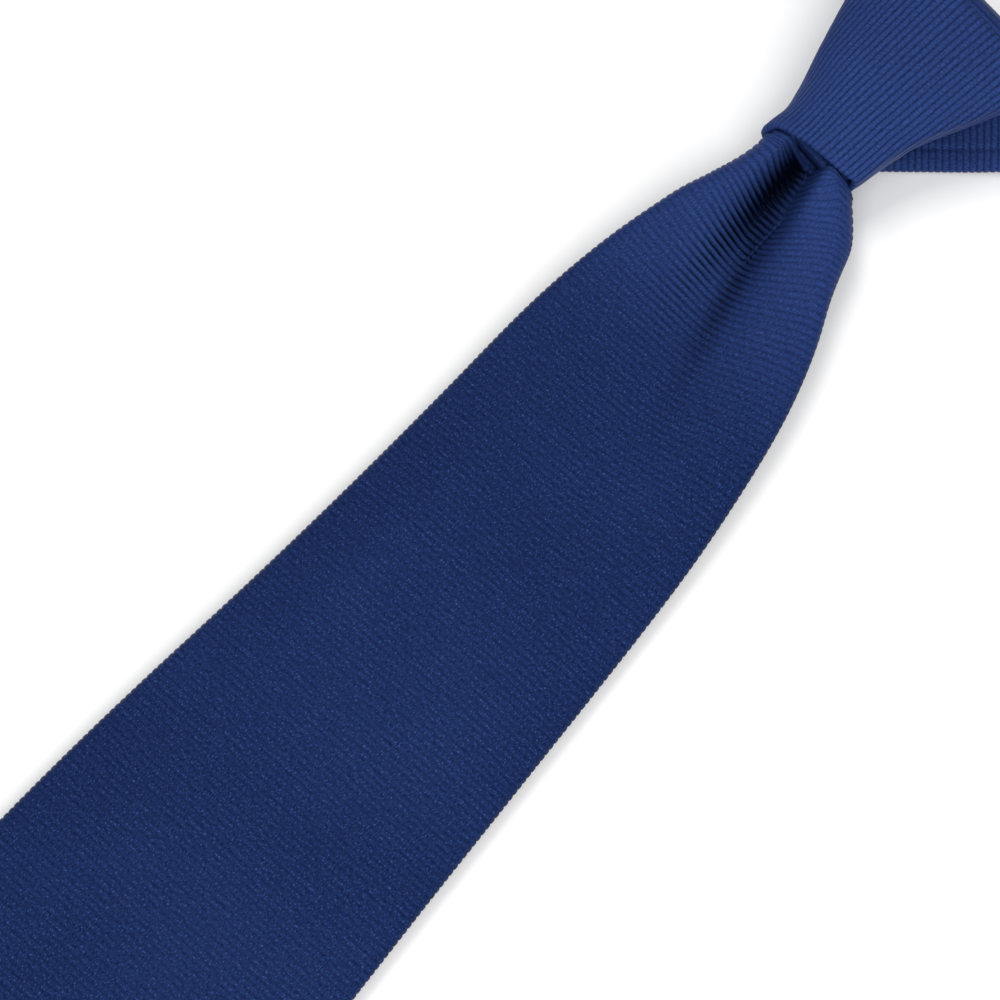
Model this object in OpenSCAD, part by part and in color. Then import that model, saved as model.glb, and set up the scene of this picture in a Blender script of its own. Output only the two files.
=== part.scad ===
// A silk necktie in a four-in-hand knot, lying on its back on a table, with the neck loop laid out behind.
// +Y runs along the tie from the blade's point towards the neck loop, +Z is up and z = 0 is the table.
// The origin is at the middle of the whole tie's length and width, on the table.

/* [Blade] */
// Length of the blade from the knot to its point
blade_len = 480; // [440:5:520]
// Width of the blade where the point begins
blade_w = 87; // [80:1:92]
// Widening of the blade on each side for each millimetre of length
blade_flare = 0.0395; // [0.03:0.0005:0.045]
// Width of the blade where it leaves the knot
throat_w = 21; // [18:1:23]
// Length over which the gathers below the knot spread out
gather_len = 29; // [24:1:34]
// Distance from the knot to the fold where the blade lifts
lift_s = 36; // [34:1:44]

/* [Tail] */
// Length of the tail from the knot to its point
tail_len = 300; // [260:5:300]
// Width of the tail where its point begins
tail_w = 44; // [38:1:46]
// Width of the tail inside the knot
tail_neck_w = 12; // [10:1:13]
// How far the tail can be pulled through the knot
tail_travel = 60; // [40:1:60]

/* [Knot] */
// Width of the knot at its lower edge
knot_low_w = 21; // [19:0.5:22]
// Width of the knot at its upper edge
knot_top_w = 43; // [40:1:44]
// Length of the knot along its axis
knot_len = 41; // [39:1:43]
// Height of the knot's upper edge above the table
knot_t = 26; // [25:1:27]
// Turn of the knot away from the blade's axis
knot_turn = 8; // [5:1:9]
// Sideways shift of the knot from the blade's axis
knot_shift = 4; // [3:0.5:5]

/* [Neck loop] */
// Radius of the round part of the neck loop on the table
loop_r = 60; // [58:1:64]
// Angle between the blade's axis and each band where it leaves the knot
band_angle = 49.5; // [48:0.5:51]
// Width of the neck band
band_w = 36; // [34:1:38]
// Lean of the standing band from the table
band_lean = 78; // [74:1:80]

/* [Cloth] */
// Thickness of the folded and lined blade and neck band
body_t = 3.6; // [3.4:0.1:3.8]
// Thickness of the folded and lined tail
tail_t = 3; // [2.8:0.1:3.1]
// Thickness of one silk layer with its turned edge
silk_t = 0.8; // [0.7:0.05:0.9]
// Thickness of the tipping, the keeper and the labels
thin_t = 0.45; // [0.35:0.05:0.5]

/* [Hidden] */

$fn = 48;
silk = [0.13, 0.2, 0.4];
silk_light = [0.17, 0.26, 0.5];
lining = [0.1, 0.13, 0.26];
wool = [0.86, 0.83, 0.76];
thread = [0.12, 0.17, 0.35];
label = [0.93, 0.93, 0.9];

gap = 0.3;                     // clearance between pieces that move past each other
fit = 0.1;                     // clearance between a shell and what it encloses
far = 200;                     // longer than any half width, for cutting prisms
over = 1;                      // how far a cutting piece runs past what it cuts
fold_wall = 2.5;               // solid edge of the folded blade beside its hollow
tail_wall = 1.6;               // and of the tail

// Levels above the table, from the back of the knot to its front
back_wrap_t = 2;
tail_z = back_wrap_t + gap;
cross_z = tail_z + tail_t + gap;
cross_t = 4;
stretch_z = cross_z + cross_t + gap;
stretch_t = 5;
wrap_t = 2.5;                  // one wrap of the knot
wing_z = 10.4;                 // underside of the knot's wings, where the bands pass out
keeper_z = tail_z + tail_t + 0.15;
keeper_gap = 0.7;              // slot of the keeper above its strip
thread_r = 0.27;
stitch_drop = thread_r + 0.02; // middle of a thread below the cloth that it is sewn to
tack_pitch = 1.1;              // from one turn of a bar tack to the next
blade_z = keeper_z + thin_t + keeper_gap;

// Places along the blade, measured down from the knot
tip_len = blade_w / 2;
belly_s = blade_len - tip_len;
drop_start = tail_len + tail_travel + 10;
drop_end = drop_start + 40;
throat_s = 1.5;
stitch_s = drop_start - 5;     // the back seam ends here and the two flaps open
keeper_s = 250;
label_s = 300;
middle_len = 7;                // length over which the blade swings back to its axis

// Places along the tail
tail_tip_len = tail_w / 2;
tail_belly_s = tail_len - tail_tip_len;
tail_stitch_s = tail_belly_s - 45;
tail_top_w = 30;               // width that the tail would have at the knot if it were not gathered
tail_spread_s = [2, 40];       // it spreads from its gathered width to its full width between these places
tail_top = knot_len - 6;       // its upper end in the knot

// The neck loop
apex_y = 3.6;
loop_y = apex_y + (loop_r + knot_shift * cos(band_angle)) / sin(band_angle);
straight_t = knot_shift * sin(band_angle) + (loop_y - apex_y) * cos(band_angle);
half_t = straight_t + loop_r * (90 + band_angle) * PI / 180;
band_start_t = 20;
seam_t = 75;
seam_gap = 0.4;
flat_lean = 8;                 // lean of the bands where they come out from under the knot
gathered_w = 20;               // width of the bands there
rise_start_t = 28;
rise_end_t = 78;

// Everything below is drawn with the knot's lower edge at y = 0, then moved to the middle
knot_y = (blade_len - loop_y - loop_r) / 2;

function lerp(a, b, f) = a + (b - a) * f;
function ease(a, b, x) = let(f = max(0, min(1, (x - a) / (b - a)))) f * f * (3 - 2 * f);

// Half width of the blade: a straight flare, drawn in by the gathers near the knot
function flare_half(s) = blade_w / 2 - blade_flare * (belly_s - s);
function blade_half(s) = flare_half(s) - (flare_half(0) - throat_w / 2) * exp(-pow(s / gather_len, 1.4));
function blade_mid(s) = -knot_shift * exp(-s / middle_len);
function tail_full(s) = lerp(tail_top_w / 2, tail_w / 2, s / tail_belly_s);
function tail_half(s) = lerp(tail_neck_w / 2, tail_full(s), ease(tail_spread_s[0], tail_spread_s[1], s));
function blade_under(s) = blade_z * (1 - max(0, min(1, (s - drop_start) / (drop_end - drop_start))));

// Outline of the blade between two places, drawn in by inset on each side; below the belly it runs to the
// point. Its stations are closer together near the knot, where the outline bends most
function blade_outline(s1, s2, inset) =
    let(end = min(s2, belly_s), steps = 24, crowding = 1.6,
        places = [for (i = [0:steps]) lerp(s1, end, pow(i / steps, crowding))],
        right = [for (s = places) [blade_mid(s) + blade_half(s) - inset, -s]],
        left = [for (i = [steps:-1:0]) let(s = places[i]) [blade_mid(s) - blade_half(s) + inset, -s]],
        point = [[0, inset * sqrt(2) - blade_len]])
    concat(right, s2 > belly_s ? point : [], left);

// Outline of the tail from its narrow stretch in the knot down to its point
function tail_outline(top, inset) =
    let(steps = 11,
        places = [for (i = [0:steps]) lerp(tail_spread_s[0], tail_spread_s[1], i / steps)],
        right = concat([[tail_neck_w / 2 - inset, top]], [for (s = places) [tail_half(s) - inset, -s]],
                       [[tail_w / 2 - inset, -tail_belly_s]]),
        last = len(right) - 1)
    concat(right, [[0, inset * sqrt(2) - tail_len]], [for (i = [last:-1:0]) [-right[i][0], right[i][1]]]);

// A flat piece with the given outline seen from above and the given outline seen from the side
module slab(outline, side) {
    intersection() {
        linear_extrude(2 * knot_t) polygon(outline);
        rotate([90, 0, 90]) translate([0, 0, -far / 2]) linear_extrude(far) polygon(side);
    }
}

// Side outline of a piece that follows the blade's underside, from lift above it and as thick as t
function blade_side(s1, s2, lift, t) =
    let(places = [s1, drop_start, drop_end, s2])
    concat(
        [for (s = places) [-s, blade_under(s) + lift]],
        [for (i = [3:-1:0]) [-places[i], blade_under(places[i]) + lift + t]]
    );

module lie() { translate([0, knot_y, 0]) children(); }
module in_knot() { lie() translate([-knot_shift, 0, 0]) rotate([0, 0, -knot_turn]) children(); }

/* Blade */

module blade_shell() {
    color(silk) lie() difference() {
        slab(blade_outline(lift_s + gap, blade_len, 0),
             blade_side(lift_s - over, blade_len + over, thin_t + fit, body_t));
        slab(blade_outline(lift_s - over, blade_len, fold_wall),
             blade_side(lift_s - 2 * over, blade_len + over, thin_t + fit + silk_t, body_t - 2 * silk_t));
    }
}

module blade_interlining() {
    color(wool) lie() slab(blade_outline(lift_s + gap, blade_len, fold_wall + fit),
        blade_side(lift_s - over, blade_len + over, thin_t + 2 * fit + silk_t, body_t - 2 * (silk_t + fit)));
}

// The tipping lines the back of the blade's point, below the end of the back seam
module blade_tipping() {
    start = stitch_s + 8;
    wide_s = drop_end + 5;
    inset = 5;
    color(lining) lie() slab(
        [[0, -start], [blade_half(wide_s) - inset, -wide_s], [blade_half(belly_s) - inset, -belly_s],
         [0, inset * sqrt(2) - blade_len], [inset - blade_half(belly_s), -belly_s],
         [inset - blade_half(wide_s), -wide_s]],
        blade_side(stitch_s, blade_len, 0, thin_t));
}

module blade_slip_stitch() {
    start = lift_s + 8;
    color(thread) lie() translate([0, -start, blade_z + thin_t + fit - stitch_drop]) rotate([90, 0, 0])
        cylinder(h = stitch_s - start - 4, r = thread_r);
}

module blade_bar_tack() {
    tack_w = 8;
    color(thread) lie() for (i = [0:3])
        translate([-tack_w / 2, 1 - stitch_s - tack_pitch * i, blade_z + thin_t + fit - stitch_drop])
            rotate([0, 90, 0]) cylinder(h = tack_w, r = thread_r);
}

module keeper_loop() {
    keeper_w = 56;
    keeper_h = 17;
    leg_w = 3;
    color(silk_light) lie() translate([-keeper_w / 2, -keeper_s - keeper_h / 2, keeper_z]) difference() {
        cube([keeper_w, keeper_h, thin_t + keeper_gap]);
        translate([leg_w, -over, thin_t])
            cube([keeper_w - 2 * leg_w, keeper_h + 2 * over, keeper_gap + over]);
    }
}

module blank_label() {
    label_w = 46;
    label_h = 24;
    stitch_room = 2.4;         // slot for the slip stitch that the label covers
    low = 0.2;
    color(label) lie() difference() {
        translate([-label_w / 2, -label_s - label_h, keeper_z + low])
            cube([label_w, label_h, keeper_gap + low]);
        translate([-stitch_room / 2, -label_s - label_h - over, keeper_z + thin_t + low])
            cube([stitch_room, label_h + 2 * over, keeper_gap]);
    }
}

/* Tail */

module tail_shell() {
    color(silk) lie() difference() {
        translate([0, 0, tail_z]) linear_extrude(tail_t) polygon(tail_outline(tail_top, 0));
        translate([0, 0, tail_z + silk_t]) linear_extrude(tail_t - 2 * silk_t)
            polygon(tail_outline(tail_top + over, tail_wall));
    }
}

module tail_interlining() {
    color(wool) lie() translate([0, 0, tail_z + silk_t + fit]) linear_extrude(tail_t - 2 * silk_t - 2 * fit)
        polygon(tail_outline(tail_top, tail_wall + fit));
}

module tail_tipping() {
    inset = 4;
    color(lining) lie() translate([0, 0, tail_z - fit - thin_t]) linear_extrude(thin_t)
        polygon([[0, -tail_stitch_s - inset], [tail_w / 2 - inset, inset / 2 - tail_belly_s],
                 [0, 1.5 * inset - tail_len], [inset - tail_w / 2, inset / 2 - tail_belly_s]]);
}

module tail_slip_stitch() {
    start = tail_travel - 20;
    color(thread) lie() translate([0, -start, tail_z - stitch_drop]) rotate([90, 0, 0])
        cylinder(h = tail_stitch_s - start - 4, r = thread_r);
}

module tail_bar_tack() {
    tack_w = 6;
    color(thread) lie() for (i = [0:2])
        translate([-tack_w / 2, 2.4 - tail_stitch_s - tack_pitch * i, tail_z - stitch_drop])
            rotate([0, 90, 0]) cylinder(h = tack_w, r = thread_r);
}

module care_label() {
    label_size = [11, 22, thin_t];
    color(label) lie() translate([3, 12 - tail_stitch_s, tail_z - fit - thin_t]) cube(label_size);
}

/* Knot */

function knot_half(v) = lerp(knot_low_w, knot_top_w, v / knot_len) / 2;

// Outline of a layer inside the knot between two places, drawn in by inset on each side
function layer(v1, v2, inset) = [[knot_half(v1) - inset, v1], [knot_half(v2) - inset, v2],
                                 [inset - knot_half(v2), v2], [inset - knot_half(v1), v1]];

// Outline of a turn across the knot: its half widths at its lower and upper edge, and where the edges are
function turn_outline(low, high, v1, v2) = [[low, v1], [high, v2], [-high, v2], [-low, v1]];

// Half an ellipse as wide as the knot's lower edge, from the wings' level to the given height
module arch(half_w, high) {
    intersection() {
        scale([half_w / high, 1]) circle(r = high);
        translate([-half_w, 0]) square([2 * half_w, high]);
    }
}

// An arch at the knot's lower edge, carried up the knot and widened on its way
module widening_arch(half_w, high, base_z, widen) {
    translate([0, 0, base_z]) rotate([90, 0, 0]) mirror([0, 0, 1])
        linear_extrude(knot_len, scale = widen, slices = 1) arch(half_w, high);
}

// The outer wrap: a crown that widens upwards, and two sides that close round the lower end, above the tail
module knot_front_wrap() {
    low_h = 0.62 * (knot_t - wing_z);
    widen = [knot_top_w / knot_low_w, (knot_t - wing_z) / low_h];
    side_v = 14;
    side_t = 2.2;
    side_start = 0.2;
    crown_gap = 0.8;
    color(silk_light) in_knot() {
        difference() {
            widening_arch(knot_low_w / 2, low_h, wing_z, widen);
            widening_arch(knot_low_w / 2 - wrap_t, low_h - wrap_t + crown_gap, wing_z - gap, widen);
            translate([-far / 2, -far / 2, 0]) cube([far, far, wing_z]);
        }
        for (side = [0, 1]) mirror([side, 0, 0])
            translate([0, 0, cross_z]) linear_extrude(wing_z - cross_z)
                polygon([[knot_half(0) - side_t, side_start], [knot_half(0), side_start],
                         [knot_half(side_v), side_v], [knot_half(side_v) - side_t, side_v]]);
    }
}

// The pass that comes up from behind, over the knot's upper edge, and down behind the outer wrap
module knot_over_pass() {
    pass_w = 26;
    pass_r = 7;
    color(silk) in_knot() translate([-pass_w / 2, knot_len - 0.5, wing_z + pass_r + gap]) rotate([90, 0, 90])
        linear_extrude(pass_w) intersection() {
            difference() {
                circle(r = pass_r);
                circle(r = pass_r - body_t);
            }
            translate([1, -pass_r]) square([pass_r, 2 * pass_r]);
        }
}

// The blade's stretch that runs down through the knot, behind the outer wrap
module knot_blade_stretch() {
    stretch_w = 12.4;
    room_above = 1.4;
    color(silk) in_knot() translate([-stretch_w / 2, -gap, stretch_z])
        cube([stretch_w, knot_len - 2, stretch_t - room_above]);
}

module knot_first_cross() {
    color(silk) in_knot() translate([0, 0, cross_z]) linear_extrude(cross_t)
        polygon(turn_outline(7.4, 8.6, 3, knot_len - 5));
}

module knot_back_wrap() {
    color(silk) in_knot() linear_extrude(back_wrap_t) polygon(turn_outline(8.4, 9, 2, knot_len - 6));
}

// The gathered stretch just below the knot, with its dimple
module blade_throat() {
    dimple_r = 4.4;
    dimple_dip = 12;
    knot_z = stretch_z + stretch_t;
    fold_z = blade_z + thin_t + fit;
    color(silk) lie() difference() {
        slab(blade_outline(throat_s, lift_s, 0),
             [[-throat_s, stretch_z], [-throat_s, knot_z], [-lift_s, fold_z + body_t], [-lift_s, fold_z]]);
        translate([-knot_shift, over, knot_z + over]) rotate([dimple_dip + 90, 0, knot_turn])
            cylinder(h = lift_s, r1 = dimple_r, r2 = 0.2);
    }
}

/* Neck loop */

// Place on the table where the outer face of the band stands, at distance t from the apex under the knot
function edge(t) = t < straight_t
    ? [-knot_shift + t * sin(band_angle), apex_y + t * cos(band_angle)]
    : let(a = (t - straight_t) / loop_r * 180 / PI - band_angle) [loop_r * cos(a), loop_y + loop_r * sin(a)];
// Level direction towards the inside of the loop
function inward(t) = t < straight_t
    ? [-cos(band_angle), sin(band_angle)]
    : let(a = (t - straight_t) / loop_r * 180 / PI - band_angle) [-cos(a), -sin(a)];
function lean(t) = lerp(flat_lean, band_lean, ease(rise_start_t, rise_end_t, t));
function wide(t) = lerp(gathered_w, band_w, ease(rise_start_t, rise_end_t, t));

// Four corners of the band's section at t; inset draws them in, and side = -1 gives the left half of the loop
function ring(t, side, inset, edge_inset) =
    let(n = inward(t), a = lean(t), e = edge(t) + n * body_t * sin(a),
        across = [n[0] * cos(a), n[1] * cos(a), sin(a)], through = [-n[0] * sin(a), -n[1] * sin(a), cos(a)])
    [for (c = [[edge_inset, inset], [wide(t) - edge_inset, inset],
               [wide(t) - edge_inset, body_t - inset], [edge_inset, body_t - inset]])
        let(p = [e[0], e[1], 0] + across * c[0] + through * c[1]) [side * p[0], p[1], p[2]]];

module ribbon(rings) {
    n = len(rings);
    points = [for (r = rings) for (p = r) p];
    walls = [for (i = [0:n - 2]) for (k = [0:3]) let(a = 4 * i + k, b = 4 * i + (k + 1) % 4)
        each [[a, a + 4, b], [b, a + 4, b + 4]]];
    ends = [[0, 1, 2, 3], [for (k = [3:-1:0]) 4 * (n - 1) + k]];
    polyhedron(points, concat(walls, ends));
}

function band_rings(t1, t2, steps, inset, edge_inset) =
    [for (i = [0:steps]) ring(lerp(t1, t2, i / steps), 1, inset, edge_inset)];
function loop_rings(t1, steps, inset, edge_inset) = concat(
    [for (i = [0:steps]) ring(lerp(t1, half_t, i / steps), 1, inset, edge_inset)],
    [for (i = [steps - 1:-1:0]) ring(lerp(t1, half_t, i / steps), -1, inset, edge_inset)]
);

// The room that the knot takes, which the bands are cut back from
module knot_room() {
    room = 1;
    turns = [9.6, 15];         // half width of the turns behind the wings, and where the wings begin
    wings = [knot_half(turns[1]) + room / 2, turns[1]];
    end = [knot_half(0) + room, -3];
    pass = [28, 10.5, knot_t];
    in_knot() {
        translate([0, 0, wing_z - gap]) linear_extrude(knot_t) polygon(layer(-room, knot_len + room, -room));
        translate([0, 0, -over]) linear_extrude(wing_z) polygon(
            [turns, [turns[0], knot_len], [-turns[0], knot_len], [-turns[0], turns[1]],
             [-wings[0], wings[1]], [-end[0], end[1]], end, wings]);
        translate([-pass[0] / 2, knot_len - 2, wing_z - gap]) cube(pass);
    }
}

module band(side) {
    difference() {
        lie() mirror([side, 0, 0]) ribbon(band_rings(band_start_t, seam_t - seam_gap, 14, 0, 0));
        knot_room();
    }
}

module band_right() { color(silk) band(0); }
module band_left() { color(silk) band(1); }

module neck_shell() {
    color(silk) lie() difference() {
        ribbon(loop_rings(seam_t + seam_gap, 20, 0, 0));
        ribbon(loop_rings(seam_t + seam_gap - 1, 20, silk_t, 2));
    }
}

module neck_interlining() {
    color(wool) lie() ribbon(loop_rings(seam_t + seam_gap, 20, silk_t + fit, 2 + fit));
}

// The seams that join the blade's and the tail's silk to the neck piece
module piecing_seams() {
    color(thread) lie() for (side = [0, 1]) mirror([side, 0, 0])
        ribbon(band_rings(seam_t - seam_gap + fit, seam_t + seam_gap - fit, 1, 0.15, 0.3));
}

knot_front_wrap();
knot_over_pass();
knot_blade_stretch();
knot_first_cross();
knot_back_wrap();
blade_throat();
blade_shell();
blade_interlining();
blade_tipping();
blade_slip_stitch();
blade_bar_tack();
keeper_loop();
blank_label();
tail_shell();
tail_interlining();
tail_tipping();
tail_slip_stitch();
tail_bar_tack();
care_label();
neck_shell();
neck_interlining();
band_right();
band_left();
piecing_seams();
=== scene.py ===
# %% [markdown]
# # A ribbed silk necktie, tied in a four-in-hand knot
# The imported model gives the frame: every piece below is laid out from its boxes, in metres, and all but
# the blade's silk ride on their bodies. A tie is cloth all through, so each CAD solid is replaced by a piece
# of folded silk, wool or thread of the same place and size. +Y runs from the blade's point to the neck loop,
# and z = 0 is the table.

import bpy
import numpy as np
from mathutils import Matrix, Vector


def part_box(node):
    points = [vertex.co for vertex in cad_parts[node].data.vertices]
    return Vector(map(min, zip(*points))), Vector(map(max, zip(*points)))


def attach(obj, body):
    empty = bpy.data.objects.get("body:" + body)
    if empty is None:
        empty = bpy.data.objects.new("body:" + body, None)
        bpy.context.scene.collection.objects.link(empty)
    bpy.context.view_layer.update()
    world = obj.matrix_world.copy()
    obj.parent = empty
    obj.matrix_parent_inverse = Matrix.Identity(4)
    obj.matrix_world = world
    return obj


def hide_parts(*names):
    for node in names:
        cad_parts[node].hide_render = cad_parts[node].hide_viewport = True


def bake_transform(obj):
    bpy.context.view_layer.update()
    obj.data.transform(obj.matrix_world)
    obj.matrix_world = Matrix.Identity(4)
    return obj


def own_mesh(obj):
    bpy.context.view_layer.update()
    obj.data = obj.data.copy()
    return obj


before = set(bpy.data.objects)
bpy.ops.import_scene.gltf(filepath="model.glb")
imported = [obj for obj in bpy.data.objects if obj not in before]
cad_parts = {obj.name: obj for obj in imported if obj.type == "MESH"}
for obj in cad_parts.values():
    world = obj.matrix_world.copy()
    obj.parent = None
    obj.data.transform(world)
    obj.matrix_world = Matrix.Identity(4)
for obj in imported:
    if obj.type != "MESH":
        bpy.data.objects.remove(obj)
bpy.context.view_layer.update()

MM = 0.001
bpy.ops.object.select_all(action="DESELECT")

# %% [markdown]
# The driving sizes are read off the CAD nodes. Places along the blade and the tail are distances s down
# from the knot's lower edge, as a tie maker measures them.

# %% Sizes from the frame
THROAT_GAP = 1.5 * MM
knot_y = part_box("blade_throat")[1].y + THROAT_GAP
blade_len = knot_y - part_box("blade_shell")[0].y
blade_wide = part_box("blade_shell")[1].x
belly_s = blade_len - blade_wide
tail_len = knot_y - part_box("tail_shell")[0].y
tail_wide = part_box("tail_shell")[1].x
tail_belly_s = tail_len - tail_wide
loop_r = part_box("neck_shell")[1].x
loop_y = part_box("neck_shell")[1].y - loop_r - knot_y
stitch_s = knot_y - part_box("blade_tipping")[1].y
tail_stitch_s = knot_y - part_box("tail_tipping")[1].y
keeper_s = knot_y - (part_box("keeper_loop")[0].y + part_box("keeper_loop")[1].y) / 2
label_s = knot_y - (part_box("blank_label")[0].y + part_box("blank_label")[1].y) / 2
knot_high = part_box("knot_front_wrap")[1].z
RIB = 1.35 * MM        # from one cord of the silk to the next
RIB_DEEP = 0.2 * MM
PER_RIB = 4            # rows of the mesh to a cord
KNOT_SHIFT = -4 * MM   # of the knot, sideways from the blade's axis
KNOT_TURN = np.radians(8)
print(f"blade {blade_len:.3f} long, {2 * blade_wide:.3f} wide; tail {tail_len:.3f}; loop radius {loop_r:.3f}")

# %% [markdown]
# Three small curves shape everything: an ease from 0 to 1, a bell, and a smooth line through a few
# listed stations. A function of these is easier to correct than a table of points, because each
# number is a place or a size on the tie.

# %% Curves
def ease(start, end, x):
    share = np.clip((x - start) / (end - start), 0, 1)
    return share * share * (3 - 2 * share)


def bell(x, centre, width):
    return np.exp(-((x - centre) / width) ** 2)


def through(stations, x):
    """A smooth line through stations of (place, value) in millimetres; x and the answer are in metres."""
    places, values = np.array(stations, float).T * MM
    slopes = np.gradient(values, places)
    i = np.clip(np.searchsorted(places, x) - 1, 0, len(places) - 2)
    wide = places[i + 1] - places[i]
    f = np.clip((x - places[i]) / wide, 0, 1)
    return ((1 + 2 * f) * (1 - f) ** 2 * values[i] + f * (1 - f) ** 2 * wide * slopes[i]
            + f * f * (3 - 2 * f) * values[i + 1] + f * f * (f - 1) * wide * slopes[i + 1])


def rows_of(start, end):
    """Places of the rows of a ribbed piece, as many to each cord."""
    return np.arange(round(start / RIB * PER_RIB), round(end / RIB * PER_RIB) + 1) * RIB / PER_RIB


print(f"{len(rows_of(0, blade_len))} rows from the knot to the blade's point")

# %% [markdown]
# Rib silk is a weave of thick cords that lie across the tie, each wrapped by fine threads. At the size of a
# tie the cords are real relief: they cast the fine dark lines, which painted shade in the grooves deepens,
# and notch the folded edges, which a bump map can't do. So every silk piece is a sleeve, a grid closed round
# its section, with four or more rows to each cord. The grid comes from a primitive, its vertices are moved
# into place, the closing line is welded and the ends are filled. Its UV map counts millimetres of cloth: u
# along the cords, v across them. The vertices are moved by these functions alone; no cloth simulation is run.

# %% Sleeves of cloth
def turned(rib):
    """Height of the cords, from 0 in the groove to 1 on the crown, at a distance across them."""
    phase = 2 * np.abs(rib / RIB - np.round(rib / RIB))
    return np.sqrt(np.clip(1 - (1 - phase) ** 3, 0, 1))


def outward(base):
    """Normals of a sleeve, pointing away from the middle of each row."""
    path = np.gradient(base, axis=0)
    turn = np.roll(base, -1, axis=1) - np.roll(base, 1, axis=1)
    normals = np.cross(path, turn)
    normals /= np.maximum(np.linalg.norm(normals, axis=2, keepdims=True), 1e-12)
    away = ((base - base.mean(axis=1, keepdims=True)) * normals).sum()
    return normals if away > 0 else -normals


WELD = 0.002 * MM


def sleeve(name, base, rib=None, deep=RIB_DEEP):
    """A closed sleeve through base, an array of rows, places round the section, and coordinates."""
    rows, around = base.shape[:2]
    run = np.linalg.norm(np.roll(base, -1, axis=1) - base, axis=2)
    run = np.hstack([np.zeros((rows, 1)), np.cumsum(run, axis=1)])
    if rib is None:
        rib = np.cumsum(np.linalg.norm(np.diff(base, axis=0, prepend=base[:1]), axis=2), axis=0)
    elif np.any(deep):
        base = base + outward(base) * ((turned(rib) - 1) * deep)[..., None]
    base = np.hstack([base, base[:, :1]])
    rib = np.hstack([rib, rib[:, :1]])
    bpy.ops.object.select_all(action="DESELECT")
    bpy.ops.mesh.primitive_grid_add(x_subdivisions=around, y_subdivisions=rows - 1, size=1)
    piece = bpy.context.object
    piece.name = piece.data.name = name
    mesh = piece.data
    spots = np.empty(len(mesh.vertices) * 3)
    mesh.vertices.foreach_get("co", spots)
    spots = spots.reshape(-1, 3)
    column = np.rint((spots[:, 0] + 0.5) * around).astype(int)
    row = np.rint((spots[:, 1] + 0.5) * (rows - 1)).astype(int)
    mesh.vertices.foreach_set("co", base[row, column].ravel())
    corner = np.empty(len(mesh.loops), int)
    mesh.loops.foreach_get("vertex_index", corner)
    cloth = np.stack([run[row, column], rib[row, column]], axis=1)[corner] / MM
    mesh.uv_layers.active.data.foreach_set("uv", cloth.ravel())
    bpy.ops.object.mode_set(mode="EDIT")
    bpy.ops.mesh.select_all(action="SELECT")
    bpy.ops.mesh.remove_doubles(threshold=WELD)
    bpy.ops.mesh.select_all(action="SELECT")
    bpy.ops.mesh.fill_holes(sides=0)
    bpy.ops.mesh.select_all(action="SELECT")
    bpy.ops.mesh.normals_make_consistent(inside=False)
    bpy.ops.object.mode_set(mode="OBJECT")
    bpy.ops.object.shade_smooth()
    print(f"{name}: {len(mesh.polygons)} faces")
    return piece


print(f"cords {RIB / MM:.2f} mm apart and {RIB_DEEP / MM:.1f} mm deep")

# %% [markdown]
# Shader sums are written as plain expressions. Wire wraps one socket, so that wire * 2 + 1 adds the Math
# nodes it needs; Finish makes a material and adds any other node through one method.

# %% Finishes
class Wire:
    """A shader value. Sums with numbers or other wires add Math nodes."""

    def __init__(self, finish, socket):
        self.finish = finish
        self.socket = socket

    def maths(self, operation, *values):
        inputs = dict(enumerate(values))
        return self.finish.node("ShaderNodeMath", {"operation": operation}, inputs)

    def __add__(self, other):
        return self.maths("ADD", self, other)

    def __sub__(self, other):
        return self.maths("SUBTRACT", self, other)

    def __rsub__(self, other):
        return self.maths("SUBTRACT", other, self)

    def __mul__(self, other):
        return self.maths("MULTIPLY", self, other)

    def __truediv__(self, other):
        return self.maths("DIVIDE", self, other)

    def __pow__(self, other):
        return self.maths("POWER", self, other)

    def __abs__(self):
        return self.maths("ABSOLUTE", self)

    def fraction(self):
        return self.maths("FRACT", self)

    def wave(self):
        return self.maths("SINE", self)

    def above(self, low, high):
        """0 below low, 1 above high, and a smooth step between."""
        settings = {"interpolation_type": "SMOOTHSTEP"}
        return self.finish.node("ShaderNodeMapRange", settings, {0: self, 1: low, 2: high})

    def bell(self, centre, width):
        away = (self - centre) / width
        return self.maths("EXPONENT", away * away * -1)

    __radd__ = __add__
    __rmul__ = __mul__


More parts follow.
